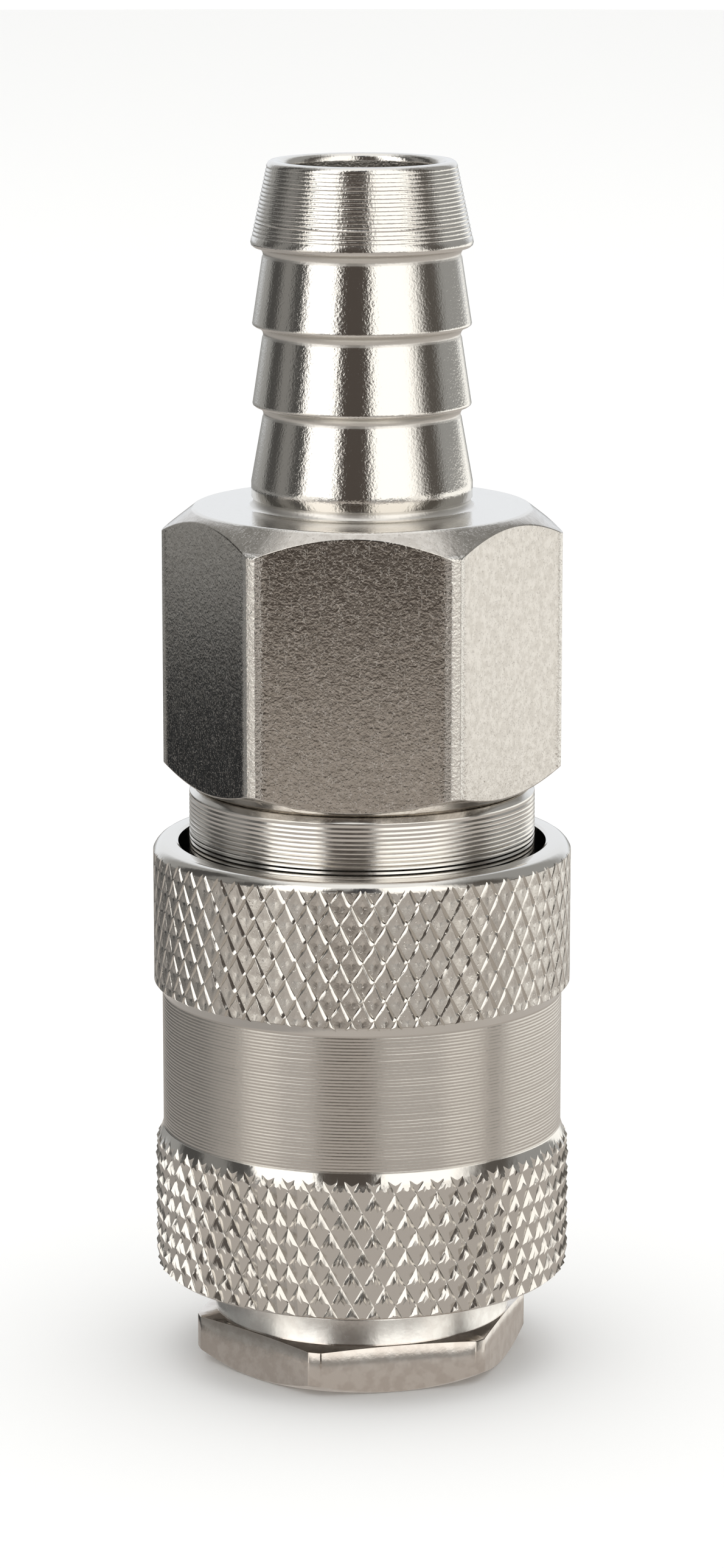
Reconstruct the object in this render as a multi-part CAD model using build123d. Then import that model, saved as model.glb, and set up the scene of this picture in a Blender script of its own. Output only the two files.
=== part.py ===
"""Quick disconnect coupler: a valved socket with a barbed hose tail, latched by balls onto a threaded plug.

Millimetres. +Z runs along the common axis, from the plug up to the hose tail. The origin is the centre of the
plug's bottom face. The coupler is drawn connected, with its sleeve forward and its valve held open by the plug.
"""

from build123d import *
from math import cos, radians, sin, tan
import os

# ---- driving dimensions ------------------------------------------------------------------------------------
# wrench flats
SOCKET_FLATS = 22.0
PLUG_FLATS = 19.0
CORNER_TRIM = 0.23  # how far the bar's hex corners are turned down
PLUG_HEX_TURN = 16.8  # the plug's hex is turned this far, in degrees, from the socket's

# heights of the visible pieces
PLUG_HEX_TOP = 3.1
PLUG_COLLAR_TOP = 5.1
MOUTH_Z = 5.5
SLEEVE_BOTTOM = 5.9
SLEEVE_TOP = 33.7
BODY_TOP = 37.2
HEX_TOP = 54.85
TAIL_TOP = 76.3

# latch
BALL_COUNT = 8
BALL_R = 1.5
BALL_Z = 12.7
SHANK_R = 7.9  # plug shank, which fills the socket's mouth
BALL_TRAVEL = 0.8  # outward, when the sleeve is pulled back
SLEEVE_TRAVEL = 3.2  # up, towards the socket's hex
PLUG_RELEASE = 1.4  # the valve spring pushes the plug out this far, and shuts the valve, as the balls let go
BALL_GAP = 0.03

# sleeve
KNURL_R = 13.2
BAND_R = 12.68
SPRING_BORE_R = 11.6
STOP_BORE_R = 11.5
LAND_R = 10.02
LAND_TOP = 15.7
STOP_FACE_Z = 8.55

# socket body
MOUTH_R = 8.0
BODY_R = 9.95
NECK_R = 10.9
SHOULDER_Z = 28.7
NOSE_BORE_R = 6.05
CHAMBER_R = 8.4
CHAMBER_TOP = 31.8
THREAD_R = 9.0

# plug
COLLAR_R = 9.4
GROOVE_R = 7.1
NOSE_R = 5.95
NOSE_TOP = 25.0
PLUG_THREAD_R = 5.72  # minor radius of a G 1/4 pipe thread
PLUG_THREAD_DEPTH = 10.5
PLUG_BORE_R = 4.3

# hose adaptor
SPIGOT_R = 8.97
SPIGOT_BOTTOM = 32.0
SPIGOT_BORE_R = 6.6
TAIL_STEP_Z = 45.0
TAIL_BORE_R = 4.9
STEM_R = 6.9

# valve
POPPET_R = 7.3
POPPET_BOTTOM = 26.4
POPPET_TOP = 28.4
FOOT_GAP = 0.03
VALVE_STEM_R = 1.6
VALVE_STEM_TOP = 47.5
GUIDE_BOTTOM = 43.4

# seals
O_RING_R = 0.75
PLUG_RING_Z = 20.85
ADAPTOR_RING_Z = 33.4

SEAL_CLEARANCE = 0.03


# ---- shared shapes -----------------------------------------------------------------------------------------
def turned(*outline):
    """A solid of revolution about Z from its half outline, given as (radius, height) corners."""
    corners = [(r, 0, z) for r, z in outline]
    return revolve(make_face(Polyline(*corners, close=True)), Axis.Z)


def chamfered_hex(flats, bottom, top, low_face_r, high_face_r, low_slope, high_slope):
    """A hex bar end, turned to a cone at both ends; the slopes are the cones' angles from the level face."""
    trimmed_r = flats / 2 / cos(radians(30)) - CORNER_TRIM
    bar = extrude(
        Plane.XY.offset(bottom) * RegularPolygon(flats / 2, 6, major_radius=False), top - bottom
    )
    turning = turned(
        (0, bottom),
        (low_face_r, bottom),
        (trimmed_r, bottom + (trimmed_r - low_face_r) * tan(radians(low_slope))),
        (trimmed_r, top - (trimmed_r - high_face_r) * tan(radians(high_slope))),
        (high_face_r, top),
        (0, top),
    )
    return bar & turning


def coil_spring(mean_r, wire_r, bottom, top, turns):
    """A round-wire compression spring standing between two faces."""
    low, high = bottom + wire_r + SEAL_CLEARANCE, top - wire_r - SEAL_CLEARANCE
    path = Helix(pitch=(high - low) / turns, height=high - low, radius=mean_r)
    path = Pos(0, 0, low) * path
    section = Plane(origin=path @ 0, z_dir=path % 0) * Circle(wire_r)
    return sweep(section, path=path, is_frenet=True)


def o_ring(inner_r, height):
    """A rubber ring of round section, touching a shaft of the given radius."""
    return Pos(0, 0, height) * Torus(inner_r + O_RING_R, O_RING_R)


# ---- hose adaptor: wrench hex, barbed tail above, threaded spigot below ----------------------------------------
def make_hose_adaptor():
    hexagon = chamfered_hex(SOCKET_FLATS, BODY_TOP, HEX_TOP, NECK_R - 0.5, 10.5, 30, 38)

    # the tail's outline: a flared foot, a relief groove and a plain cylinder, then four barbs
    barb_tips = [(61.3, 6.8), (66.25, 6.8), (71.2, 6.9)]
    barb_undercut, barb_root_r = 0.65, 6.12
    outline = [
        (TAIL_BORE_R, HEX_TOP - 1),
        (STEM_R + 0.35, HEX_TOP - 1),
        (STEM_R + 0.35, HEX_TOP),
        (STEM_R - 0.12, HEX_TOP + 0.4),
        (STEM_R - 0.12, HEX_TOP + 0.5),
        (STEM_R, HEX_TOP + 0.65),
        (STEM_R, HEX_TOP + 1.6),
    ]
    for tip_z, tip_r in barb_tips:
        outline += [(barb_root_r, tip_z - barb_undercut), (tip_r, tip_z), (tip_r, tip_z + 0.15)]
    outline += [(5.85, TAIL_TOP - 0.25), (5.6, TAIL_TOP), (TAIL_BORE_R + 0.3, TAIL_TOP)]
    outline += [(TAIL_BORE_R, TAIL_TOP - 0.3)]
    tail = turned(*outline)

    ring_groove_r = THREAD_R - 2 * O_RING_R - SEAL_CLEARANCE
    spigot = turned(
        (0, SPIGOT_BOTTOM),
        (SPIGOT_R, SPIGOT_BOTTOM),
        (SPIGOT_R, ADAPTOR_RING_Z - 0.95),
        (ring_groove_r, ADAPTOR_RING_Z - 0.95),
        (ring_groove_r, ADAPTOR_RING_Z + 0.95),
        (SPIGOT_R, ADAPTOR_RING_Z + 0.95),
        (SPIGOT_R, BODY_TOP),
        (0, BODY_TOP),
    )
    passage = turned(
        (0, SPIGOT_BOTTOM - 1),
        (SPIGOT_BORE_R, SPIGOT_BOTTOM - 1),
        (SPIGOT_BORE_R, TAIL_STEP_Z),
        (TAIL_BORE_R, TAIL_STEP_Z),
        (TAIL_BORE_R, TAIL_TOP + 1),
        (0, TAIL_TOP + 1),
    )
    return hexagon + tail + spigot - passage


# ---- socket body: the tube that carries the balls, the seals and the sleeve --------------------------------------
def make_socket_body():
    ring_slot = 0.95
    ring_floor_r = NOSE_R + SEAL_CLEARANCE + 2 * O_RING_R + 0.02
    snap_groove_r = 9.35
    tube = turned(
        (MOUTH_R + 0.35, MOUTH_Z),
        (BODY_R - 0.35, MOUTH_Z),
        (BODY_R, MOUTH_Z + 0.35),
        (BODY_R, SNAP_RING_BOTTOM - 0.05),
        (snap_groove_r, SNAP_RING_BOTTOM - 0.05),
        (snap_groove_r, SNAP_RING_BOTTOM + SNAP_RING_THICK + 0.05),
        (BODY_R, SNAP_RING_BOTTOM + SNAP_RING_THICK + 0.05),
        (BODY_R, SHOULDER_Z),
        (NECK_R, SHOULDER_Z),
        (NECK_R, BODY_TOP - 0.25),
        (NECK_R - 0.25, BODY_TOP),
        (THREAD_R, BODY_TOP),
        (THREAD_R, CHAMBER_TOP),
        (CHAMBER_R, CHAMBER_TOP),
        (CHAMBER_R, VALVE_SEAT_Z),
        (NOSE_BORE_R, VALVE_SEAT_Z),
        (NOSE_BORE_R, PLUG_RING_Z + ring_slot),
        (ring_floor_r, PLUG_RING_Z + ring_slot),
        (ring_floor_r, PLUG_RING_Z - ring_slot),
        (NOSE_BORE_R, PLUG_RING_Z - ring_slot),
        (NOSE_BORE_R, 18.85),
        (MOUTH_R, 16.9),
        (MOUTH_R, MOUTH_Z + 0.35),
    )
    # each hole narrows to a lip at the bore, so that its ball can't fall through
    lip_r, hole_r, lip_top = 1.40, BALL_R + BALL_GAP, MOUTH_R + 0.45
    hole = turned(
        (0, MOUTH_R - 0.5),
        (lip_r, MOUTH_R - 0.5),
        (lip_r, MOUTH_R),
        (hole_r, lip_top),
        (hole_r, BODY_R + 0.5),
        (0, BODY_R + 0.5),
    )
    for angle in BALL_ANGLES:
        tube -= Pos(0, 0, BALL_Z) * Rot(0, 0, angle) * Rot(0, 90, 0) * hole
    return tube


def make_sleeve_snap_ring():
    gap_degrees = 24
    ring = turned(
        (9.4, SNAP_RING_BOTTOM),
        (11.35, SNAP_RING_BOTTOM),
        (11.35, SNAP_RING_BOTTOM + SNAP_RING_THICK),
        (9.4, SNAP_RING_BOTTOM + SNAP_RING_THICK),
    )
    half_gap = 11.35 * sin(radians(gap_degrees / 2))
    return ring - Pos(0, 10.5, SNAP_RING_BOTTOM + SNAP_RING_THICK / 2) * Box(2 * half_gap, 4, 2)


# ---- locking balls and the sleeve that holds them in -------------------------------------------------------------
def make_ball(angle):
    return Pos(0, 0, BALL_Z) * Rot(0, 0, angle) * Pos(BALL_LOCKED_R, 0, 0) * Sphere(BALL_R)


def make_locking_sleeve():
    # a cone over the balls: it opens towards the mouth by the balls' travel over the sleeve's travel
    ramp = BALL_TRAVEL / SLEEVE_TRAVEL
    contact_r = BALL_LOCKED_R + BALL_R * (1 + ramp**2) ** 0.5 + BALL_GAP
    ramp_top = BALL_Z + (contact_r - LAND_R) / ramp
    ramp_bottom = BALL_Z - SLEEVE_TRAVEL
    recess_r = contact_r + BALL_TRAVEL
    return turned(
        (STOP_BORE_R, SLEEVE_BOTTOM),
        (KNURL_R - 0.5, SLEEVE_BOTTOM),
        (KNURL_R, SLEEVE_BOTTOM + 0.5),
        (KNURL_R, LOWER_KNURL_TOP),
        (BAND_R, LOWER_KNURL_TOP + 0.8),
        (BAND_R, UPPER_KNURL_BOTTOM - 0.7),
        (KNURL_R, UPPER_KNURL_BOTTOM),
        (KNURL_R, SLEEVE_TOP - 0.5),
        (KNURL_R - 0.4, SLEEVE_TOP),
        (SPRING_BORE_R, SLEEVE_TOP),
        (SPRING_BORE_R, LAND_TOP),
        (LAND_R, LAND_TOP),
        (LAND_R, ramp_top),
        (recess_r, ramp_bottom),
        (recess_r, STOP_FACE_Z),
        (STOP_BORE_R, STOP_FACE_Z),
    )


# ---- valve: a sprung poppet that the plug's nose pushes open -----------------------------------------------------
def make_valve_poppet():
    seal_in_r, seal_out_r, seal_depth = VALVE_SEAL
    disc = turned(
        (0, POPPET_BOTTOM),
        (seal_in_r, POPPET_BOTTOM),
        (seal_in_r, POPPET_BOTTOM + seal_depth),
        (seal_out_r, POPPET_BOTTOM + seal_depth),
        (seal_out_r, POPPET_BOTTOM),
        (POPPET_R, POPPET_BOTTOM),
        (POPPET_R, POPPET_TOP - 0.6),
        (POPPET_R - 0.6, POPPET_TOP),
        (VALVE_STEM_R, POPPET_TOP),
        (VALVE_STEM_R, VALVE_STEM_TOP - 0.4),
        (VALVE_STEM_R - 0.4, VALVE_STEM_TOP),
        (0, VALVE_STEM_TOP),
    )
    # a castellated foot stands on the plug's nose, and air passes between its four legs
    foot_bottom = NOSE_TOP + FOOT_GAP
    foot = turned(
        (4.5, foot_bottom), (5.7, foot_bottom), (5.7, POPPET_BOTTOM + 0.2), (4.5, POPPET_BOTTOM + 0.2)
    )
    slot_height = POPPET_BOTTOM - foot_bottom
    for angle in (0, 90):
        foot -= (
            Pos(0, 0, foot_bottom + slot_height / 2) * Rot(0, 0, angle) * Box(14, 4.2, slot_height)
        )
    return disc + foot


def make_valve_seal():
    inner_r, outer_r, depth = VALVE_SEAL
    proud = VALVE_SEAL_PROUD
    return turned(
        (inner_r, POPPET_BOTTOM + depth),
        (inner_r, POPPET_BOTTOM),
        (inner_r + proud, POPPET_BOTTOM - proud),
        (outer_r - proud, POPPET_BOTTOM - proud),
        (outer_r, POPPET_BOTTOM),
        (outer_r, POPPET_BOTTOM + depth),
    )


def make_valve_guide():
    """A four-spoke disc that guides the poppet's stem; the valve spring holds it against the adaptor's step."""
    hub_r, rim_in_r, rim_out_r = 2.9, 5.0, SPIGOT_BORE_R - 0.05
    thick = TAIL_STEP_Z - GUIDE_BOTTOM
    rim = turned(
        (rim_in_r, GUIDE_BOTTOM),
        (rim_out_r, GUIDE_BOTTOM),
        (rim_out_r, TAIL_STEP_Z),
        (rim_in_r, TAIL_STEP_Z),
    )
    hub = turned((0, GUIDE_BOTTOM), (hub_r, GUIDE_BOTTOM), (hub_r, TAIL_STEP_Z), (0, TAIL_STEP_Z))
    guide = rim + hub
    for angle in (45, 135):
        guide += Pos(0, 0, GUIDE_BOTTOM + thick / 2) * Rot(0, 0, angle) * Box(2 * rim_in_r + 0.6, 1.4, thick)
    return guide - Pos(0, 0, GUIDE_BOTTOM + thick / 2) * Cylinder(VALVE_STEM_R + 0.05, 2 * thick)


# ---- plug: hex, collar, ball groove and sealing nose --------------------------------------------------------------
def make_plug():
    hexagon = Rot(0, 0, PLUG_HEX_TURN) * chamfered_hex(
        PLUG_FLATS, 0, PLUG_HEX_TOP, COLLAR_R - 0.1, COLLAR_R, 28, 28
    )
    # below the balls the groove's flank is 45 degrees; above them it follows the path of a ball being let go
    low_flank, high_flank = 0.65, 0.40
    depth = SHANK_R - GROOVE_R
    high_run = depth * PLUG_RELEASE / BALL_TRAVEL
    lead_bottom = 16.4
    shank = turned(
        (0, 0.5),
        (COLLAR_R, 0.5),
        (COLLAR_R, PLUG_COLLAR_TOP - 0.3),
        (COLLAR_R - 0.3, PLUG_COLLAR_TOP),
        (SHANK_R, PLUG_COLLAR_TOP),
        (SHANK_R, BALL_Z - low_flank - depth),
        (GROOVE_R, BALL_Z - low_flank),
        (GROOVE_R, BALL_Z + high_flank),
        (SHANK_R, BALL_Z + high_flank + high_run),
        (SHANK_R, lead_bottom),
        (NOSE_R, lead_bottom + SHANK_R - NOSE_R),
        (NOSE_R, NOSE_TOP - 0.6),
        (NOSE_R - 0.4, NOSE_TOP),
        (0, NOSE_TOP),
    )
    drill_point = PLUG_THREAD_R - PLUG_BORE_R
    passage = turned(
        (0, -1),
        (PLUG_THREAD_R + 1.95, -1),
        (PLUG_THREAD_R, 0.95),
        (PLUG_THREAD_R, PLUG_THREAD_DEPTH),
        (PLUG_BORE_R, PLUG_THREAD_DEPTH + 0.6 * drill_point),
        (PLUG_BORE_R, NOSE_TOP + 1),
        (0, NOSE_TOP + 1),
    )
    return hexagon + shank - passage


# ---- values worked out from the driving dimensions ---------------------------------------------------------------
BALL_ANGLES = [360 / BALL_COUNT * (n + 0.5) for n in range(BALL_COUNT)]
BALL_LOCKED_R = GROOVE_R + BALL_R + BALL_GAP
SNAP_RING_THICK = 1.0
SNAP_RING_BOTTOM = STOP_FACE_Z - SNAP_RING_THICK - 0.05
LOWER_KNURL_TOP = 14.4
UPPER_KNURL_BOTTOM = 24.7
VALVE_SEAL = (6.35, 7.0, 0.6)  # inner radius, outer radius, depth in the poppet
VALVE_SEAL_PROUD = 0.25
VALVE_SEAT_Z = POPPET_BOTTOM - VALVE_SEAL_PROUD - PLUG_RELEASE - SEAL_CLEARANCE

# ---- the pieces ---------------------------------------------------------------------------------------------------
pieces = {
    "hose_adaptor": make_hose_adaptor(),
    "adaptor_o_ring": o_ring(THREAD_R - 2 * O_RING_R - SEAL_CLEARANCE / 2, ADAPTOR_RING_Z),
    "socket_body": make_socket_body(),
    "plug_o_ring": o_ring(NOSE_R + SEAL_CLEARANCE, PLUG_RING_Z),
    "sleeve_snap_ring": make_sleeve_snap_ring(),
    "locking_sleeve": make_locking_sleeve(),
    "sleeve_spring": coil_spring(10.78, 0.6, LAND_TOP, SHOULDER_Z, 6.5),
    "valve_poppet": make_valve_poppet(),
    "valve_seal": make_valve_seal(),
    "valve_spring": coil_spring(5.3, 0.4, POPPET_TOP, GUIDE_BOTTOM, 8),
    "valve_guide": make_valve_guide(),
    "plug": make_plug(),
}
for number, ball_angle in enumerate(BALL_ANGLES, start=1):
    pieces[f"locking_ball_{number}"] = make_ball(ball_angle)

os.makedirs("parts", exist_ok=True)
for name, piece in pieces.items():
    piece.label = name
    export_step(piece, f"parts/{name}.step")
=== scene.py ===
"""Quick disconnect coupler: a socket with a barbed hose tail, latched onto a threaded plug."""

import random
from math import atan2, cos, hypot, pi, radians, sin, tan

import bpy
from mathutils import Matrix, Vector


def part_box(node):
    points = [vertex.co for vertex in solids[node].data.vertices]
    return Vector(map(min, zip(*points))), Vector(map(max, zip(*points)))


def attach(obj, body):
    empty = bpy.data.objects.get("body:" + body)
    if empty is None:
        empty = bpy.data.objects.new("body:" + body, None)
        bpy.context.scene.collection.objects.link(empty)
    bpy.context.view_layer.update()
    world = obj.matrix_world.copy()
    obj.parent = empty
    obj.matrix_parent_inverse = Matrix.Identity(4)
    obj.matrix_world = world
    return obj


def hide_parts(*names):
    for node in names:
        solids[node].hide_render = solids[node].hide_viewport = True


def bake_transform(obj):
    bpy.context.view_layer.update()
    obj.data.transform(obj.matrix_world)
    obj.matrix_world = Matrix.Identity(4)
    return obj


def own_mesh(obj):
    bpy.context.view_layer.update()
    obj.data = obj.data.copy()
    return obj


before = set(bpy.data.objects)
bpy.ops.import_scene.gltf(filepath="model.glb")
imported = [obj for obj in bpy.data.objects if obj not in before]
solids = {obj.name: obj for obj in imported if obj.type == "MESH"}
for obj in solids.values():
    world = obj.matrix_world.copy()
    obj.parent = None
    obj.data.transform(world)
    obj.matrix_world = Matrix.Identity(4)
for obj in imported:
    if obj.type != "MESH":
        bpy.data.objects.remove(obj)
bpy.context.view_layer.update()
mm = 0.001

# ---- Hose adaptor --------------------------------------------------------------------------------
# The barbed tail, the 22 mm hexagon and the spigot are turned from one brass hexagon bar and nickel plated.
# The lower barbs are polished. The top one still shows the ridges that a coarse feed leaves.

adaptor_low, adaptor_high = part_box("hose_adaptor")
body_low, body_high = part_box("socket_body")
spigot_bottom = adaptor_low.z
spigot_r = 8.97 * mm
groove_bottom, groove_top = spigot_bottom + 0.45 * mm, spigot_bottom + 2.35 * mm
groove_r = 7.47 * mm
hex_bottom = body_high.z
hex_top = hex_bottom + 17.65 * mm
hex_half_flats = adaptor_high.y
hex_corner_r = adaptor_high.x + 0.06 * mm
low_face_r, low_slope = 10.4 * mm, tan(radians(30))
top_face_r, top_slope = 10.5 * mm, tan(radians(38))
stem_r = 6.9 * mm
barb_root_r = 6.12 * mm
barb_tips, barb_tip_r = (61.3 * mm, 66.25 * mm), 6.8 * mm
top_barb_z = 71.2 * mm
tail_top = adaptor_high.z
tail_bore_r = 4.9 * mm
valve_side_r, valve_side_top = 6.6 * mm, 45 * mm


def start_clean():
    """Leaves editing and selects nothing."""
    if bpy.context.object and bpy.context.object.mode != "OBJECT":
        bpy.ops.object.mode_set(mode="OBJECT")
    bpy.ops.object.select_all(action="DESELECT")


def work_on(piece):
    """Makes one piece the only one selected, and the active one."""
    start_clean()
    piece.select_set(True)
    bpy.context.view_layer.objects.active = piece


def edit_all(piece):
    """Opens a piece for editing, with everything in it selected."""
    work_on(piece)
    bpy.ops.object.mode_set(mode="EDIT")
    bpy.ops.mesh.select_all(action="SELECT")


def stop_editing():
    bpy.ops.object.mode_set(mode="OBJECT")


def face_outward(piece):
    """Turns every face of a closed piece to the outside."""
    edit_all(piece)
    bpy.ops.mesh.normals_make_consistent(inside=False)
    stop_editing()


def add_object(name, data):
    """Puts a mesh, a curve, a camera or a light into the scene."""
    made = bpy.data.objects.new(name, data)
    bpy.context.scene.collection.objects.link(made)
    return made


def finish_modifiers(piece):
    """Applies a piece's modifiers, in their order."""
    work_on(piece)
    for modifier in list(piece.modifiers):
        bpy.ops.object.modifier_apply(modifier=modifier.name)


def settle(piece):
    """Writes a piece's place and turn into its mesh."""
    work_on(piece)
    bpy.ops.object.transform_apply(location=True, rotation=True, scale=True)


def draw_outline(name, points):
    """Draws a line through (radius, height) points in the XZ plane, extruding one vertex along it."""
    start_clean()
    bpy.ops.mesh.primitive_plane_add(size=mm, location=(points[0][0], 0, points[0][1]))
    piece = bpy.context.object
    piece.name = name
    settle(piece)
    edit_all(piece)
    bpy.ops.mesh.merge(type="CENTER")
    for (r, z), (next_r, next_z) in zip(points, points[1:]):
        step = (next_r - r, 0, next_z - z)
        bpy.ops.mesh.extrude_vertices_move(TRANSFORM_OT_translate={"value": step})
    stop_editing()
    return piece


def turn(name, points, steps=160):
    """Turns an outline about Z, as on a lathe, into a closed solid."""
    piece = draw_outline(name, points + points[:1])
    edit_all(piece)
    bpy.ops.mesh.spin(steps=steps, angle=2 * pi, center=(0, 0, 0), axis=(0, 0, 1))
    bpy.ops.mesh.select_all(action="SELECT")
    bpy.ops.mesh.remove_doubles(threshold=0.0005 * mm)
    face_outward(piece)
    return piece


def combine(piece, tool, operation):
    """Cuts, joins or intersects a piece with a tool, and throws the tool away."""
    work_on(piece)
    modifier = piece.modifiers.new("tool", "BOOLEAN")
    modifier.operation = operation
    modifier.solver = "EXACT"
    modifier.object = tool
    bpy.ops.object.modifier_apply(modifier=modifier.name)
    bpy.data.objects.remove(tool)


def smooth(piece, angle=28):
    """Shades a piece as round wherever its faces meet at less than this angle."""
    work_on(piece)
    bpy.ops.object.shade_smooth_by_angle(angle=radians(angle))


def flatten_shading(piece):
    """Lets the big faces keep their own normals, so that only the broken edges are shaded as round."""
    modifier = piece.modifiers.new("flat faces", "WEIGHTED_NORMAL")
    modifier.weight = 90
    modifier.keep_sharp = True
    finish_modifiers(piece)


def soften_edges(piece, width, low, high):
    """Breaks the sharp edges between two heights, as tumbling and plating do."""
    edit_all(piece)
    bpy.ops.mesh.select_mode(type="EDGE")
    bpy.ops.mesh.select_all(action="DESELECT")
    bpy.ops.mesh.edges_select_sharp(sharpness=radians(20))
    stop_editing()
    bpy.context.tool_settings.mesh_select_mode = (True, False, False)
    mesh = piece.data
    weights = mesh.attributes.new("bevel_weight_edge", "FLOAT", "EDGE")
    for edge in mesh.edges:
        heights = [mesh.vertices[v].co.z for v in edge.vertices]
        if edge.select and min(heights) >= low and max(heights) <= high:
            weights.data[edge.index].value = 1.0
    modifier = piece.modifiers.new("soft edges", "BEVEL")
    modifier.width = width
    modifier.segments = 2
    modifier.limit_method = "WEIGHT"
    modifier.use_clamp_overlap = False
    finish_modifiers(piece)
    mesh.attributes.remove(mesh.attributes["bevel_weight_edge"])


def clean_seams(piece):
    """Merges the points and drops the slivers that cutting and joining leave along their seams."""
    edit_all(piece)
    bpy.ops.mesh.remove_doubles(threshold=0.001 * mm)
    bpy.ops.mesh.select_all(action="SELECT")
    bpy.ops.mesh.dissolve_degenerate(threshold=0.001 * mm)
    stop_editing()


def hex_bar(half_flats, bottom, top, turned=0.0):
    """A hexagonal bar whose flats face -Y and every 60 degrees from there."""
    start_clean()
    bpy.ops.mesh.primitive_cylinder_add(
        vertices=6,
        radius=half_flats / cos(radians(30)),
        depth=top - bottom,
        location=(0, 0, (bottom + top) / 2),
        rotation=(0, 0, radians(30) + turned),
    )
    bar = bpy.context.object
    settle(bar)
    return bar


def ridges(start, end, pitch, height, seed):
    """Outline points of the ridges that a lathe tool leaves between two (radius, height) points."""
    rng = random.Random(seed)
    (r0, z0), (r1, z1) = start, end
    count = round(abs(z1 - z0) / pitch)
    points = []
    for n in range(count):
        for share, lift in ((0.0, 0.0), (0.3, 0.75), (0.5, 1.0), (0.7, 0.75)):
            t = (n + share) / count
            depth = height * lift * rng.uniform(0.7, 1.0)
            points.append((r0 + (r1 - r0) * t - depth, z0 + (z1 - z0) * t))
    return points + [end]


def under_barb(tip_z):
    """The hollow under a barb, where the round nose of the tool stopped."""
    hollow = ((0.06, 0.82), (0.0, 0.7), (0.03, 0.52), (0.12, 0.36), (0.28, 0.22))
    return [(barb_root_r + out * mm, tip_z - down * mm) for out, down in hollow]


adaptor_outline = [
    (valve_side_r, spigot_bottom),
    (8.75 * mm, spigot_bottom),
    (spigot_r, spigot_bottom + 0.22 * mm),
    (spigot_r, groove_bottom),
    (groove_r, groove_bottom),
    (groove_r, groove_top),
    (spigot_r, groove_top),
    (spigot_r, hex_bottom),
    (low_face_r, hex_bottom),
    (hex_corner_r, hex_bottom + (hex_corner_r - low_face_r) * low_slope),
    (hex_corner_r, hex_top - (hex_corner_r - top_face_r) * top_slope),
    (top_face_r, hex_top),
    (stem_r + 0.35 * mm, hex_top),
    (stem_r + 0.1 * mm, hex_top + 0.08 * mm),
    (stem_r - 0.05 * mm, hex_top + 0.22 * mm),
    (stem_r - 0.12 * mm, hex_top + 0.4 * mm),
    (stem_r - 0.11 * mm, hex_top + 0.52 * mm),
    (stem_r, hex_top + 0.65 * mm),
    (stem_r, hex_top + 1.6 * mm),
]
for tip_z in barb_tips:
    adaptor_outline += under_barb(tip_z) + [
        (barb_tip_r - 0.13 * mm, tip_z - 0.12 * mm),
        (barb_tip_r - 0.02 * mm, tip_z - 0.04 * mm),
        (barb_tip_r, tip_z + 0.05 * mm),
        (barb_tip_r - 0.02 * mm, tip_z + 0.16 * mm),
    ]
adaptor_outline += under_barb(top_barb_z) + [
    (6.72 * mm, top_barb_z - 0.17 * mm),
    (6.85 * mm, top_barb_z - 0.06 * mm),
    (6.89 * mm, top_barb_z + 0.1 * mm),
    (6.86 * mm, top_barb_z + 0.25 * mm),
]
top_barb_low = (6.83 * mm, top_barb_z + 0.4 * mm)
top_barb_high = (5.9 * mm, tail_top - 0.32 * mm)
adaptor_outline += ridges(top_barb_low, top_barb_high, 0.24 * mm, 0.05 * mm, 4)
adaptor_outline += [
    (5.8 * mm, tail_top - 0.12 * mm),
    (5.66 * mm, tail_top - 0.02 * mm),
    (5.5 * mm, tail_top),
    (5.25 * mm, tail_top),
    (5.1 * mm, tail_top - 0.06 * mm),
    (tail_bore_r + 0.03 * mm, tail_top - 0.25 * mm),
    (tail_bore_r, tail_top - 0.5 * mm),
    (tail_bore_r, valve_side_top + 0.6 * mm),
    (5.2 * mm, valve_side_top),
    (valve_side_r, valve_side_top),
]
adaptor = turn("hose_tail_and_hexagon", adaptor_outline, steps=192)
combine(adaptor, hex_bar(hex_half_flats, spigot_bottom - mm, tail_top + mm), "INTERSECT")
clean_seams(adaptor)
soften_edges(adaptor, 0.07 * mm, hex_bottom - 0.1 * mm, hex_top + 0.01 * mm)
smooth(adaptor, 50)
flatten_shading(adaptor)


class Wire:
    """What a shader node gives. Sums written on it add the Math nodes that they need."""

    def __init__(self, nodes, socket):
        self.nodes = nodes
        self.socket = socket

    def __add__(self, other):
        return self.nodes.maths("ADD", self, other)

    def __sub__(self, other):
        return self.nodes.maths("SUBTRACT", self, other)

    def __mul__(self, other):
        return self.nodes.maths("MULTIPLY", self, other)

    def __radd__(self, other):
        return self.nodes.maths("ADD", other, self)

    def __rsub__(self, other):
        return self.nodes.maths("SUBTRACT", other, self)

    def __rmul__(self, other):
        return self.nodes.maths("MULTIPLY", other, self)

    def above(self, low, high):
        """0 below low, 1 above high, and smooth between them."""
        settings = {"interpolation_type": "SMOOTHSTEP"}
        inputs = {"Value": self, "From Min": low, "From Max": high}
        return self.nodes.node("ShaderNodeMapRange", settings, inputs)

    def between(self, low, high, soft):
        """1 from low to high and 0 outside, with edges this soft."""
        return self.above(low - soft, low + soft) * (1 - self.above(high - soft, high + soft))


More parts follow.
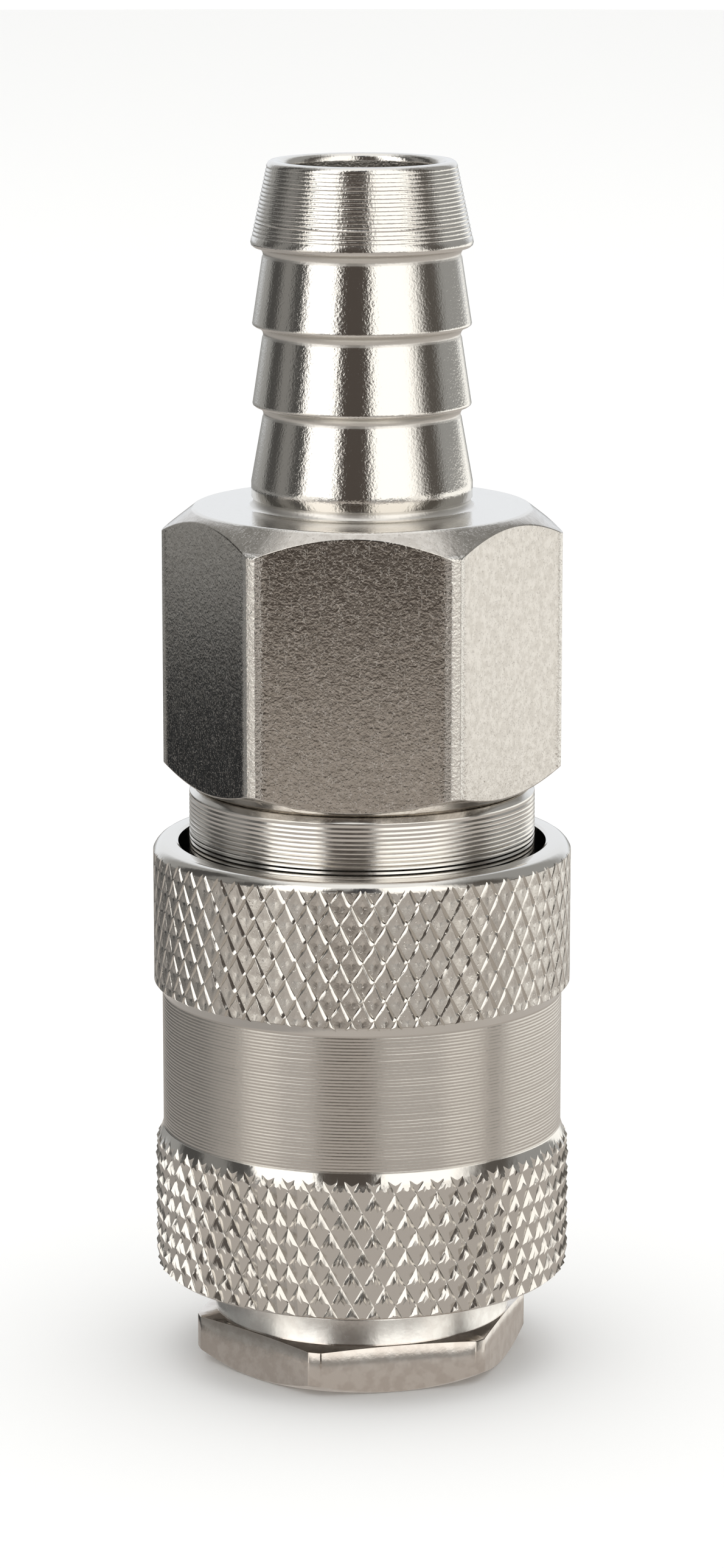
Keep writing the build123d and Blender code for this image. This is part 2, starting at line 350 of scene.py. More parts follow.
class Nodes:
    """The nodes of one material or world. node() adds any of them and gives back what it puts out."""

    def __init__(self, tree):
        self.tree = tree

    def node(self, kind, settings=None, inputs=None, output=0):
        made = self.tree.nodes.new(kind)
        for name, value in (settings or {}).items():
            setattr(made, name, value)
        self.plug_in(made, inputs or {})
        return Wire(self, made.outputs[output])

    def plug_in(self, node, inputs):
        for name, value in inputs.items():
            if isinstance(value, Wire):
                self.tree.links.new(value.socket, node.inputs[name])
            else:
                node.inputs[name].default_value = value

    def maths(self, operation, *values):
        return self.node("ShaderNodeMath", {"operation": operation}, dict(enumerate(values)))

    def mix(self, share, first, second):
        """A colour between two others."""
        settings = {"data_type": "RGBA"}
        return self.node("ShaderNodeMix", settings, {0: share, 6: first, 7: second}, output=2)

    def split(self, vector):
        """The x, y and z of a place or a direction."""
        return [self.node("ShaderNodeSeparateXYZ", inputs={0: vector}, output=n) for n in range(3)]


class Finish(Nodes):
    """A metal or rubber finish. Its x, y, z and radius are millimetres from the coupler's axis and foot."""

    def __init__(self, name, colour, metallic=1.0, roughness=0.3):
        self.material = bpy.data.materials.new(name)
        self.material.use_nodes = True
        super().__init__(self.material.node_tree)
        self.skin = self.tree.nodes["Principled BSDF"]
        self.surface({"Base Color": (*colour, 1), "Metallic": metallic, "Roughness": roughness})
        place = self.node("ShaderNodeTexCoord", output="Object")
        in_mm = {0: place, "Scale": 1 / mm}
        self.place = self.node("ShaderNodeVectorMath", {"operation": "SCALE"}, in_mm)
        self.x, self.y, self.z = self.split(self.place)
        self.radius = self.maths("SQRT", self.x * self.x + self.y * self.y)

    def surface(self, inputs):
        self.plug_in(self.skin, inputs)

    def grain(self, scale, detail=3.0, longer=(1, 1, 1), turned=(0, 0, 0)):
        """Noise with about this many lumps to the millimetre, made longer along its axes, then turned."""
        inputs = {"Vector": self.place, "Rotation": turned, "Scale": longer}
        place = self.node("ShaderNodeMapping", {"vector_type": "TEXTURE"}, inputs)
        return self.node("ShaderNodeTexNoise", inputs={"Vector": place, "Scale": scale, "Detail": detail})

    def bump(self, height, depth):
        """Relief of a height from 0 to 1, this many millimetres deep."""
        normal = self.node("ShaderNodeBump", inputs={"Height": height, "Distance": depth * mm})
        self.surface({"Normal": normal})


nickel = (0.62, 0.575, 0.52)
bright_nickel = (0.78, 0.755, 0.715)


def adaptor_finish():
    """Tumbled on the hexagon's flats, polished on its corners and the barbs, and dull in the hollows."""
    finish = Finish("polished_and_tumbled_nickel", nickel)
    flecks = finish.grain(7.0, 3)
    dents = finish.grain(3.6, 2)
    blotches = finish.grain(1.1, 3)
    on_hexagon = finish.z.between(hex_bottom / mm, hex_top / mm - 0.12, 0.05)
    corner = (finish.radius + (flecks - 0.5) * 0.35).above(12.3, 12.42)
    rim = on_hexagon * finish.radius.above(12.15, 12.4)
    flat = on_hexagon * (1 - corner)
    hollow = finish.z.between(tail_top / mm - 5.9, top_barb_z / mm - 0.18, 0.06)
    for tip_z in barb_tips:
        under_tip = finish.z.between(tip_z / mm - 0.8, tip_z / mm - 0.14, 0.06)
        hollow = finish.maths("MAXIMUM", hollow, under_tip)
    foot = finish.z.between(hex_top / mm + 0.08, hex_top / mm + 0.6, 0.04)
    hollow = finish.maths("MAXIMUM", hollow, foot)
    strokes = 0.0
    for scale, turned in ((9, (0.0, 0.5, 0.2)), (10, (0.2, -0.7, 0.4)), (8.5, (-0.2, 1.5, -0.3))):
        stroke = finish.grain(scale, 1, longer=(5, 1, 1), turned=turned).above(0.66, 0.73)
        strokes = finish.maths("MAXIMUM", stroke, strokes)
    specks = finish.grain(5.5, 1, longer=(2.5, 1, 1), turned=(0.4, 0.9, -0.3)).above(0.68, 0.75)
    ridged = finish.z.between(top_barb_z / mm + 0.3, tail_top / mm - 0.3, 0.1)

    roughness = 0.1 + flat * ((blotches - 0.5) * 0.1 - 0.02) + corner * on_hexagon * 0.1
    roughness = roughness + hollow * 0.24 + ridged * 0.05
    cloudy = finish.grain(2.2, 4).above(0.35, 0.65)
    tumbled = finish.mix(cloudy, (0.5, 0.465, 0.425, 1), (0.62, 0.585, 0.545, 1))
    tumbled = finish.mix(strokes * 0.35, tumbled, (0.74, 0.71, 0.67, 1))
    tumbled = finish.mix(specks * 0.6, tumbled, (0.3, 0.27, 0.24, 1))
    colour = finish.mix(flat * 0.8, (*bright_nickel, 1), tumbled)
    finish.surface({"Roughness": roughness, "Base Color": colour})

    relief = (1 - flat) * (dents * 0.4 + flecks * 0.65)
    relief = relief + flat * (flecks * 0.22 + strokes * 0.22 + dents * 0.28)
    relief = relief + rim * (dents * 1.4 + flecks * 0.8)
    finish.bump(relief, 0.018)
    return finish.material


def dress(piece, material):
    """Gives a piece one finish all over."""
    piece.data.materials.clear()
    piece.data.materials.append(material)


dress(adaptor, adaptor_finish())
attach(adaptor, "socket")
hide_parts("hose_adaptor")

# ---- Socket body ---------------------------------------------------------------------------------
# A turned brass tube. Its neck shows between the hexagon and the sleeve and keeps its feed ridges.
# The rest is hidden: the mouth for the plug, eight ball holes, the O-ring groove and the valve seat.

mouth_z = body_low.z
neck_top = body_high.z
neck_r = body_high.x
barrel_r = 9.95 * mm
ring_low, ring_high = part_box("sleeve_snap_ring")
ring_bottom, ring_top = ring_low.z - 0.05 * mm, ring_high.z + 0.05 * mm
ring_groove_r = 9.35 * mm
spring_low, spring_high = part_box("sleeve_spring")
shoulder_z = spring_high.z + 0.03 * mm
ball_low, ball_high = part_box("locking_ball_1")
ball_z = (ball_low.z + ball_high.z) / 2
shank_bore_r, nose_bore_r, valve_room_r, spigot_bore_r = 8 * mm, 6.05 * mm, 8.4 * mm, 9 * mm
cone_bottom, cone_top = 16.9 * mm, 18.85 * mm
seal_bottom, seal_top, seal_groove_r = 19.9 * mm, 21.8 * mm, 7.5 * mm
seat_z = 24.72 * mm
valve_room_top = 31.8 * mm

body_outline = [
    (8.35 * mm, mouth_z),
    (9.6 * mm, mouth_z),
    (barrel_r, mouth_z + 0.35 * mm),
    (barrel_r, ring_bottom),
    (ring_groove_r, ring_bottom),
    (ring_groove_r, ring_top),
    (barrel_r, ring_top),
    (barrel_r, shoulder_z),
    (neck_r - 0.2 * mm, shoulder_z),
    (neck_r, shoulder_z + 0.2 * mm),
    (neck_r, shoulder_z + 0.8 * mm),
]
neck_start = (neck_r, shoulder_z + 0.9 * mm)
neck_end = (neck_r, neck_top - 0.42 * mm)
body_outline += ridges(neck_start, neck_end, 0.28 * mm, 0.042 * mm, 11)
body_outline += [
    (neck_r - 0.02 * mm, neck_top - 0.3 * mm),
    (neck_r - 0.28 * mm, neck_top - 0.02 * mm),
    (neck_r - 0.35 * mm, neck_top),
    (spigot_bore_r, neck_top),
    (spigot_bore_r, valve_room_top),
    (valve_room_r, valve_room_top),
    (valve_room_r, seat_z),
    (nose_bore_r, seat_z),
    (nose_bore_r, seal_top),
    (seal_groove_r, seal_top),
    (seal_groove_r, seal_bottom),
    (nose_bore_r, seal_bottom),
    (nose_bore_r, cone_top),
    (shank_bore_r, cone_bottom),
    (shank_bore_r, mouth_z + 0.35 * mm),
]
body = turn("socket_tube", body_outline)

ball_count = 8
hole_r, lip_r = 1.53 * mm, 1.4 * mm
hole_start, hole_end = 7.2 * mm, 10.6 * mm
hole_outline = [
    (0, hole_start),
    (lip_r, hole_start),
    (lip_r, 8 * mm),
    (hole_r, 8.45 * mm),
    (hole_r, hole_end),
    (0, hole_end),
]
hole = turn("ball_hole", hole_outline, steps=24)
outward = Matrix.Rotation(pi / 2, 4, "Y")
holes = []
for n in range(ball_count):
    copy = add_object("ball_hole", hole.data.copy())
    side = Matrix.Rotation(2 * pi * (n + 0.5) / ball_count, 4, "Z")
    copy.data.transform(Matrix.Translation((0, 0, ball_z)) @ side @ outward)
    holes.append(copy)
bpy.data.objects.remove(hole)


def join(pieces):
    """Makes one object of several."""
    start_clean()
    for piece in pieces:
        piece.select_set(True)
    bpy.context.view_layer.objects.active = pieces[0]
    bpy.ops.object.join()
    return pieces[0]


combine(body, join(holes), "DIFFERENCE")
clean_seams(body)
smooth(body)


def body_finish():
    """Bright plating that follows the turning."""
    finish = Finish("turned_nickel", bright_nickel, roughness=0.17)
    finish.surface({"Roughness": 0.1 + finish.grain(1.3, 3) * 0.16})
    finish.bump(finish.grain(3, 3, longer=(3, 3, 1)), 0.008)
    return finish.material


dress(body, body_finish())
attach(body, "socket")
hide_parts("socket_body")

# ---- Locking balls -------------------------------------------------------------------------------
# Eight hardened bearing balls sit in the socket body's holes and hold the plug by its groove.
# They are true spheres, bought in, so the solids stay as they are and only get their mirror finish.


def plain_finish(name, colour, low, high, metallic=1.0):
    """A finish whose roughness wanders between two values, with a faint grain."""
    finish = Finish(name, colour, metallic)
    finish.surface({"Roughness": low + finish.grain(3.0, 3) * (high - low)})
    finish.bump(finish.grain(6.0, 3), 0.006)
    return finish.material


ball_steel = plain_finish("bearing_steel", (0.7, 0.7, 0.72), 0.06, 0.14)
for n in range(ball_count):
    dress(solids[f"locking_ball_{n + 1}"], ball_steel)

# ---- O-rings and valve seal ----------------------------------------------------------------------
# Moulded nitrile rubber: one ring round the adaptor's spigot, one that seals the plug's nose, and one in the
# poppet's face. They are plain mouldings, so the solids stay, with the dull bloom of pressed rubber.

rubber = plain_finish("black_nitrile", (0.018, 0.018, 0.019), 0.5, 0.75, metallic=0.0)
for name in ("adaptor_o_ring", "plug_o_ring", "valve_seal"):
    dress(solids[name], rubber)

# ---- Valve ---------------------------------------------------------------------------------------
# The poppet and the spoked guide for its stem are turned and milled from plain brass and aren't plated.
# Their spring is coiled from stainless wire. The real one grows as the valve shuts, but this one keeps one
# length.

brass = plain_finish("turned_brass", (0.72, 0.53, 0.24), 0.18, 0.4)
for name in ("valve_poppet", "valve_guide"):
    dress(solids[name], brass)


def coil(name, mean_r, wire_r, bottom, top, turns):
    """A compression spring whose first and last turns lie flat against their seats."""
    per_turn, end_turns = 40, 1.0
    count = int((turns + 2 * end_turns) * per_turn)
    closed_rise = 2.04 * wire_r * end_turns
    curve = bpy.data.curves.new(name, "CURVE")
    curve.dimensions = "3D"
    curve.bevel_depth = wire_r
    curve.bevel_resolution = 4
    curve.use_fill_caps = True
    wire = curve.splines.new("POLY")
    wire.points.add(count)
    low, high = bottom + wire_r, top - wire_r
    for n in range(count + 1):
        turn_now = n / per_turn
        from_end = min(turn_now, turns + 2 * end_turns - turn_now)
        if from_end < end_turns:
            rise = closed_rise * from_end / end_turns
        else:
            middle = turns / 2
            gone = (from_end - end_turns) / middle
            rise = closed_rise + ((high - low) / 2 - closed_rise) * gone
        z = low + rise if turn_now <= turns / 2 + end_turns else high - rise
        angle = 2 * pi * turn_now
        wire.points[n].co = (mean_r * cos(angle), mean_r * sin(angle), z, 1)
    work_on(add_object(name, curve))
    bpy.ops.object.convert(target="MESH")
    smooth(bpy.context.object, 60)
    return bpy.context.object


valve_spring_low, valve_spring_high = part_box("valve_spring")
coil_r, wire_r = 5.3 * mm, 0.4 * mm
valve_spring = coil("valve_coil", coil_r, wire_r, valve_spring_low.z, valve_spring_high.z, 6)

spring_steel = plain_finish("drawn_spring_steel", (0.42, 0.42, 0.43), 0.18, 0.42)
dress(valve_spring, spring_steel)
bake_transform(valve_spring)
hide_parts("valve_spring")

# ---- Locking sleeve ------------------------------------------------------------------------------
# A brass sleeve turned all over, with a plain band between two knurled ones. The knurling wheel is pressed
# in lightly on the upper band and deeply on the lower one. Inside are the ball ramp and the spring's bore.

sleeve_low, sleeve_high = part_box("locking_sleeve")
sleeve_bottom = sleeve_low.z
sleeve_top = sleeve_high.z
crest_r = sleeve_high.y
stock_r = crest_r + 0.13 * mm
band_r = crest_r - 0.52 * mm
lower_knurl = (sleeve_bottom + 0.5 * mm, sleeve_bottom + 8.5 * mm)
upper_knurl = (sleeve_top - 9.0 * mm, sleeve_top - 0.6 * mm)
spring_bore_r, guide_bore_r, ball_room_r, mouth_bore_r = 11.6 * mm, 10.02 * mm, 11.006 * mm, 11.5 * mm
spring_seat = 15.7 * mm
ramp_bottom, ramp_top = 9.5 * mm, 13.445 * mm
mouth_bore_top = 8.55 * mm

sleeve_outline = [
    (mouth_bore_r, sleeve_bottom),
    (crest_r - 0.5 * mm, sleeve_bottom),
    (crest_r - 0.12 * mm, lower_knurl[0] - 0.2 * mm),
    (crest_r - 0.03 * mm, lower_knurl[0] - 0.06 * mm),
    (stock_r, lower_knurl[0] + 0.2 * mm),
    (stock_r, lower_knurl[1] - 0.5 * mm),
    (crest_r - 0.3 * mm, lower_knurl[1] + 0.2 * mm),
    (band_r + 0.03 * mm, lower_knurl[1] + 0.76 * mm),
    (band_r, lower_knurl[1] + 0.86 * mm),
]
band_start = (band_r, lower_knurl[1] + 0.9 * mm)
band_end = (band_r, upper_knurl[0] - 0.72 * mm)
sleeve_outline += ridges(band_start, band_end, 0.2 * mm, 0.014 * mm, 7)
sleeve_outline += [
    (band_r + 0.06 * mm, upper_knurl[0] - 0.6 * mm),
    (stock_r, upper_knurl[0] + 0.14 * mm),
    (stock_r, upper_knurl[1] - 0.3 * mm),
    (crest_r - 0.03 * mm, upper_knurl[1] + 0.03 * mm),
    (crest_r - 0.14 * mm, upper_knurl[1] + 0.22 * mm),
    (crest_r - 0.32 * mm, upper_knurl[1] + 0.42 * mm),
    (crest_r - 0.52 * mm, sleeve_top - 0.05 * mm),
    (crest_r - 0.72 * mm, sleeve_top),
    (11.8 * mm, sleeve_top),
    (11.62 * mm, sleeve_top - 0.12 * mm),
    (spring_bore_r, sleeve_top - 0.3 * mm),
    (spring_bore_r, spring_seat),
    (guide_bore_r, spring_seat),
    (guide_bore_r, ramp_top),
    (ball_room_r, ramp_bottom),
    (ball_room_r, mouth_bore_top),
    (mouth_bore_r, mouth_bore_top),
]
sleeve = turn("knurled_sleeve", sleeve_outline, steps=180)

knurl_count = 60
knurl_pitch = 2 * pi * crest_r / knurl_count
row_height = knurl_pitch / 2 / tan(radians(30))


def knurling_die(name, top_z, rows, along, across, press, seed):
    """A ring whose inside is the knurl in reverse, drawn diamond by diamond between its two sets of grooves.

    Inside a diamond, s runs down to the right along one groove and t down to the left along the other,
    from 0 to 1. along and across are the lines drawn at fixed s and t. press moves each crossing of them
    and gives its depth.
    """
    rng = random.Random(seed)
    points, faces, numbers = [], [], {}

    def corner(column, line):
        """The number of the point where two lines cross, counting a point on the seam only once."""
        i, j = column // len(along), line // len(across)
        turns = (i - j) // (2 * knurl_count)
        key = (column - turns * knurl_count * len(along), line + turns * knurl_count * len(across))
        if key not in numbers:
            s, t, depth = press(column % len(along), line % len(across), rng)
            s, t = s + i, t + j
            angle, r = (s - t) * pi / knurl_count, crest_r - depth
            numbers[key] = len(points)
            points.append((r * cos(angle), r * sin(angle), top_z - (s + t) * row_height))
        return numbers[key]

    for row in range(rows):
        for n in range(knurl_count):
            i = (row + 2 * n + row % 2) // 2
            j = row - i
            for a in range(len(along)):
                for b in range(len(across)):
                    column, line = i * len(along) + a, j * len(across) + b
                    q = [corner(column + u, line + v) for u, v in ((0, 0), (1, 0), (1, 1), (0, 1))]
                    same_side = (along[a] < 0.4) == (across[b] < 0.4)
                    if same_side:
                        faces += [(q[0], q[1], q[2]), (q[0], q[2], q[3])]
                    else:
                        faces += [(q[0], q[1], q[3]), (q[1], q[2], q[3])]
    mesh = bpy.data.meshes.new(name)
    mesh.from_pydata(points, [], faces)
    die = add_object(name, mesh)
    edit_all(die)
    bpy.ops.mesh.extrude_region_move(TRANSFORM_OT_translate={"value": (0, 0, 0)})
    stop_editing()
    die_r = crest_r + 0.6 * mm
    for vertex in die.data.vertices:
        if vertex.select:
            out = die_r / hypot(vertex.co.x, vertex.co.y)
            vertex.co = (vertex.co.x * out, vertex.co.y * out, vertex.co.z)
    face_outward(die)
    return die


# The lower knurl is pressed to full depth. The walls below each groove are steeper than those above it.
steep, gentle = 0.31, 0.67
deep_lines = [0, 0.1 * steep, 0.5 * steep, steep, 1 - gentle, 1 - 0.5 * gentle, 1 - 0.1 * gentle]
deep_walls = [0.95, 0.89, 0.49, 0, 0, 0.5, 0.89]


def press_deep(a, b, rng):
    """The deeper of the two grooves at a crossing, with a little wander."""
    depth = max(0.365 * mm * deep_walls[a], 0.385 * mm * deep_walls[b])
    wander = 0.006
    s = deep_lines[a] + rng.uniform(-wander, wander)
    t = deep_lines[b] + rng.uniform(-wander, wander)
    return s, t, depth + rng.uniform(0, 0.006) * mm


lower_die_top = lower_knurl[1] + 2 * mm
lower_die = knurling_die("lower_die", lower_die_top, 10, deep_lines, deep_lines, press_deep, 21)
combine(sleeve, lower_die, "DIFFERENCE")

# The upper knurl is only touched: each tooth leaves a long mark to the right and a short one to the left.
long_lines = [0, 0.13, 0.3, 0.5, 0.7, 0.86, 0.96]
short_lines = [0, 0.17, 0.3, 0.5, 0.72, 0.95]
long_swell = [0.45, 0.5, 0.65, 0.85, 1.0, 1.0, 0.6]
short_swell = [0.5, 0.85, 1.0, 0.85, 0.5, 0.4]


def press_light(a, b, rng):
    """The marks swell and fade, and the lines beside them follow their width."""
    s, t = long_lines[a], short_lines[b]
    long_now = long_swell[a] * rng.uniform(0.93, 1.05)
    short_now = short_swell[b] * rng.uniform(0.9, 1.08)
    if b == 1:
        t = 0.02 + 0.185 * long_now
    if a == 1:
        s = 0.02 + 0.13 * short_now
    depth = 0.0
    if b == 0:
        depth = 0.15 * mm * long_now
    if a == 0:
        depth = max(depth, 0.11 * mm * short_now)
    if (a, b) == (3, 3):
        depth = 0.06 * mm
    return s, t, depth + rng.uniform(0, 0.003) * mm


upper_die_top = sleeve_top + 1.0 * mm
upper_die = knurling_die("upper_die", upper_die_top, 11, long_lines, short_lines, press_light, 22)
combine(sleeve, upper_die, "DIFFERENCE")
smooth(sleeve, 24)


def sleeve_finish():
    """Satin on the band and on the lands of the upper knurl, and brighter where the wheel has pressed."""
    finish = Finish("satin_and_pressed_nickel", nickel)
    low, high = lower_knurl[1] / mm, upper_knurl[0] / mm
    lower = 1 - finish.z.above(low + 0.1, low + 0.3)
    land = finish.z.above(high - 0.4, high - 0.2) * finish.radius.above(13.15, 13.185)
    band = finish.z.between(low + 0.85, high - 0.7, 0.05)
    lines = finish.grain(6.0, 2, longer=(30, 30, 1))
    speckle = finish.grain(6, 3)
    pits = finish.grain(4.5, 1).above(0.66, 0.74)

    roughness = 0.11 + lower * 0.08 + land * (0.14 + (speckle - 0.5) * 0.12)
    roughness = roughness + band * (0.13 + (speckle - 0.5) * 0.1)
    worn = land * 0.5 + band * 0.5 + lower * 0.3
    colour = finish.mix(worn, (*bright_nickel, 1), (0.6, 0.56, 0.51, 1))
    finish.surface({"Roughness": roughness, "Base Color": colour})

    relief = finish.grain(2.5, 3) * 0.3 + band * (lines * 0.22 + speckle * 0.12)
    relief = relief + land * (speckle * 0.35 - pits * 0.8) + lower * speckle * 0.3
    finish.bump(relief, 0.018)
    return finish.material


dress(sleeve, sleeve_finish())
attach(sleeve, "sleeve")
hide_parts("locking_sleeve")

# ---- Sleeve spring and snap ring -----------------------------------------------------------------
# The spring is coiled from round stainless wire, with its end turns closed up. It pushes the sleeve forward
# and shortens as the sleeve is pulled back. A split ring of the same steel, in a groove of the body, stops
# the sleeve.

coil_r, wire_r = 10.78 * mm, 0.6 * mm
sleeve_spring = coil("sleeve_coil", coil_r, wire_r, spring_low.z, spring_high.z, 4.5)
dress(sleeve_spring, spring_steel)
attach(sleeve_spring, "sleeve_spring")
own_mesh(sleeve_spring)
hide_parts("sleeve_spring")
dress(solids["sleeve_snap_ring"], spring_steel)

# ---- Plug ----------------------------------------------------------------------------------------
# A brass plug with a 19 mm hexagon, a round collar and, inside the socket, the ball groove and sealing nose.
# Its G 1/4 thread is cut from below with a tap.

plug_low, plug_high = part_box("plug")
nose_top = plug_high.z
plug_half_flats = 9.5 * mm
plug_corner_r = plug_half_flats / cos(radians(30)) - 0.23 * mm
plug_hex_top = 3.1 * mm
foot_r, plug_slope, plug_top_slope = 9.3 * mm, tan(radians(28)), tan(radians(6))
collar_r, collar_top = 9.4 * mm, 5.1 * mm
shank_r, ball_groove_r = 7.9 * mm, 7.1 * mm
nose_r, flow_r = 5.95 * mm, 4.3 * mm
thread_minor_r, thread_major_r, thread_pitch = 5.72 * mm, 6.5 * mm, 1.337 * mm
thread_bottom, thread_top = 1.03 * mm, 10.5 * mm

plug_outline = [
    (6.75 * mm, 0),
    (foot_r, 0),
    (plug_corner_r, (plug_corner_r - foot_r) * plug_slope),
    (plug_corner_r, plug_hex_top - (plug_corner_r - collar_r) * plug_top_slope),
    (collar_r, plug_hex_top),
    (collar_r, collar_top - 0.3 * mm),
    (collar_r - 0.09 * mm, collar_top - 0.09 * mm),
    (collar_r - 0.3 * mm, collar_top),
    (shank_r, collar_top),
    (shank_r, ball_z - 1.45 * mm),
    (ball_groove_r, ball_z - 0.65 * mm),
    (ball_groove_r, ball_z + 0.4 * mm),
    (shank_r, ball_z + 1.8 * mm),
    (shank_r, 16.4 * mm),
    (nose_r, 18.35 * mm),
    (nose_r, nose_top - 0.6 * mm),
    (nose_r - 0.4 * mm, nose_top),
    (flow_r, nose_top),
    (flow_r, 11.35 * mm),
    (thread_minor_r, thread_top),
    (thread_minor_r, thread_bottom),
]
plug = turn("threaded_plug", plug_outline)
plug_turn = radians(16.8)
combine(plug, hex_bar(plug_half_flats, -mm, nose_top + mm, turned=plug_turn), "INTERSECT")
clean_seams(plug)
soften_edges(plug, 0.07 * mm, -0.1 * mm, collar_top + 0.01 * mm)

# The tap's cross-section reaches from its core on one side to the tip of its teeth on the other.
tap_start = -1.43 * mm
tap_core_r = thread_minor_r - 0.02 * mm
start_clean()
bpy.ops.mesh.primitive_circle_add(vertices=48, radius=mm, location=(0, 0, 0))
tap = bpy.context.object
for vertex in tap.data.vertices:
    angle = atan2(vertex.co.y, vertex.co.x)
    rise = min(1, max(0, 1.15 * abs(angle) / pi - 0.05))
    reach = tap_core_r + (thread_major_r - thread_minor_r + 0.02 * mm) * rise
    vertex.co = (reach * cos(angle), reach * sin(angle), tap_start)
screw = tap.modifiers.new("thread", "SCREW")
screw.axis = "Z"
screw.screw_offset = thread_pitch
screw.iterations = 8
screw.steps = 32
screw.render_steps = 32
screw.use_merge_vertices = False
finish_modifiers(tap)
edit_all(tap)
bpy.ops.mesh.select_all(action="DESELECT")
bpy.ops.mesh.select_non_manifold()
bpy.ops.mesh.edge_face_add()
face_outward(tap)
combine(plug, tap, "DIFFERENCE")
clean_seams(plug)
smooth(plug)


def plug_finish():
    """Tumbled nickel on the hexagon's sides, in pale and grey patches, and a turned collar whose paler
    colour is a painted reflection.
    """
    finish = Finish("satin_plug_nickel", (0.68, 0.62, 0.57))
    side = 1 - finish.z.above(1.9, 2.2)
    mottle = finish.grain(1.6, 3)
    collar = finish.z.between(plug_hex_top / mm + 0.1, collar_top / mm, 0.05)
    patches = finish.grain(1.2, 4).above(0.4, 0.6)

    roughness = 0.1 + side * (0.04 + mottle * 0.12) + collar * 0.13 + finish.grain(5, 2) * 0.06
    on_hexagon = finish.mix(patches, (0.64, 0.585, 0.535, 1), (0.72, 0.67, 0.62, 1))
    # Paler on the collar: this is painted reflection, not a different plating from the hexagon's nickel.
    collar_with_painted_reflection = finish.mix(patches, (0.88, 0.85, 0.81, 1), (0.95, 0.93, 0.89, 1))
    colour = finish.mix(collar, on_hexagon, collar_with_painted_reflection)
    finish.surface({"Roughness": roughness, "Base Color": colour})
    finish.bump(finish.grain(3, 3) * 0.5 + side * finish.grain(7, 2) * 0.3, 0.01)
    return finish.material


dress(plug, plug_finish())
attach(plug, "plug")
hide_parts("plug")

# ---- Studio --------------------------------------------------------------------------------------
# A pale floor under one broad lamp. The metal mirrors a room painted in the world, which only glossy rays
# see: two tall lights in front with dark gaps beside them, a pale wall behind and a grey table below.

camera_turn = radians(2.8)
camera_height, camera_reach = 12, 318 * mm
target = Vector((0, 0, 37.1 * mm))


def around(azimuth, elevation, reach):
    """A point seen from the target: azimuth 0 is the camera's side, and 90 its right."""
    a, e = radians(azimuth) + camera_turn, radians(elevation)
    return target + Vector((sin(a) * cos(e), -cos(a) * cos(e), sin(e))) * reach


camera_data = bpy.data.cameras.new("camera")
camera_data.sensor_width = 36
camera_data.lens = 115.8
camera_data.clip_start = 0.01
camera = add_object("camera", camera_data)
camera.location = around(0, camera_height, camera_reach)
camera.rotation_euler = (target - camera.location).to_track_quat("-Z", "Y").to_euler()
bpy.context.scene.camera = camera
bpy.context.scene.view_settings.view_transform = "Standard"

start_clean()
bpy.ops.mesh.primitive_circle_add(vertices=96, radius=1.5, fill_type="NGON", location=(0, 0, 0))
floor = bpy.context.object
floor.name = "floor"
dress(floor, Finish("pale_paper", (0.84, 0.84, 0.83), metallic=0.0, roughness=0.95).material)
floor.visible_glossy = False

lamp_data = bpy.data.lights.new("overhead", "AREA")
lamp_data.size = 0.8
lamp_data.energy = 2
lamp = add_object("overhead", lamp_data)
lamp.location = (0, 0, 0.9)
lamp.visible_glossy = False

world = bpy.data.worlds.new("studio")
bpy.context.scene.world = world
world.use_nodes = True
room = Nodes(world.node_tree)
way_x, way_y, way_z = room.split(room.node("ShaderNodeTexCoord", output="Generated"))
turned_x = way_x * cos(camera_turn) + way_y * sin(camera_turn)
turned_y = way_y * cos(camera_turn) - way_x * sin(camera_turn)
azimuth = room.maths("ARCTAN2", turned_x, -1 * turned_y) * (180 / pi)
height = room.maths("ARCSINE", way_z) * (180 / pi)
to_back = room.maths("ABSOLUTE", azimuth)


def patch(left, right, side_soft, low, high, end_soft):
    """1 in a window of the room, given in degrees round it and above level, and 0 outside."""
    return azimuth.between(left, right, side_soft) * height.between(low, high, end_soft)


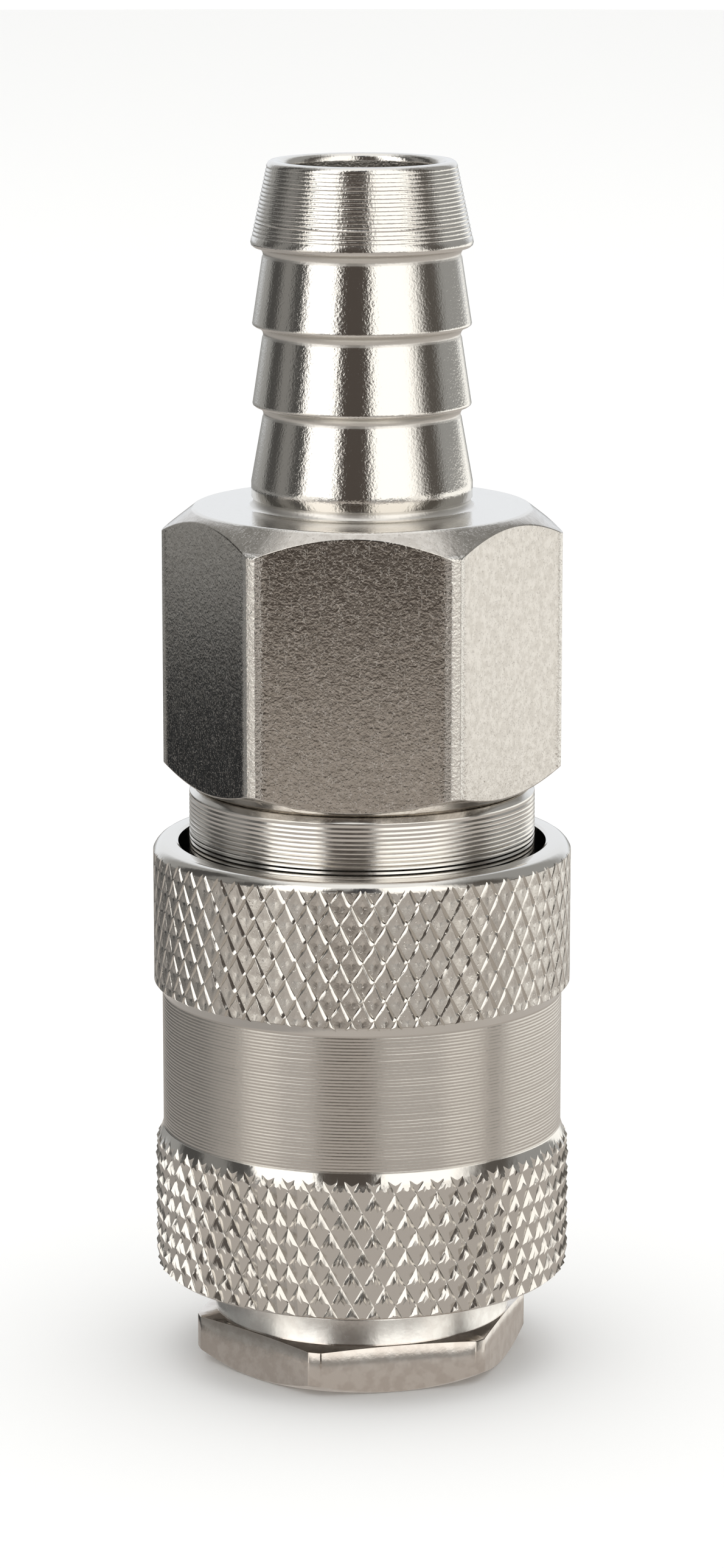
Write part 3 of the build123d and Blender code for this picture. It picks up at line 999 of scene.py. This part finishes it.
back_wall = to_back.above(135, 155) * height.above(-6, 2)
right_light = azimuth.above(5, 13) * (1 - azimuth.above(50, 76)) * height.between(-4, 66, 3)
far_table = azimuth.between(-165, -85, 10) * (1 - height.above(-14.2, -13.2))

wall_grey = (0.34, 0.34, 0.33, 1)
table_edge = (1.1, 1.07, 1.01, 1)
layers = (
    (back_wall, (0.92, 0.95, 0.99, 1)),
    (height.above(55, 70), (1.05, 1.05, 1.04, 1)),
    # Dark at both sides, with a grey strip in the left one.
    (patch(-124, -58, 4, -5, 50, 5), (0.075, 0.073, 0.07, 1)),
    (patch(-102, -82, 4, -5, 50, 5), (0.24, 0.235, 0.225, 1)),
    (patch(62, 95, 8, -30, 50, 8), (0.1, 0.09, 0.08, 1)),
    # The two tall lights and the dark gap between them.
    (patch(-65, -26, 2, -4, 66, 3), (1.6, 1.57, 1.52, 1)),
    (right_light, (1.45, 1.42, 1.36, 1)),
    (patch(-26, 9, 3, -40, 50, 3), (0.08, 0.067, 0.058, 1)),
    (patch(-7, 14, 2, 45, 66, 3), (0.05, 0.05, 0.055, 1)),
    # The table, browner in front, with pale things and one dark thing standing on it.
    (1 - height.above(-12.6, -10.2), (0.54, 0.505, 0.47, 1)),
    (patch(-26, 9, 4, -16.5, -10.7, 0.8), (0.5, 0.455, 0.41, 1)),
    (patch(88, 160, 8, -13.2, -2, 0.8), (1.2, 1.19, 1.14, 1)),
    (far_table, (0.4, 0.38, 0.36, 1)),
    (patch(-160, -95, 8, -14.2, -10, 1), (0.03, 0.032, 0.034, 1)),
    (patch(-71, -48, 3, -12.5, 0, 1.2), table_edge),
    (patch(48, 74, 3, -12.5, 0, 1.2), table_edge),
)
mirrored = wall_grey
for share, colour in layers:
    mirrored = room.mix(share, mirrored, colour)
mirror_ray = room.node("ShaderNodeLightPath", output="Is Glossy Ray")
lit = (1.12, 1.12, 1.12, 1)
room.plug_in(world.node_tree.nodes["Background"], {"Color": room.mix(mirror_ray, lit, mirrored)})
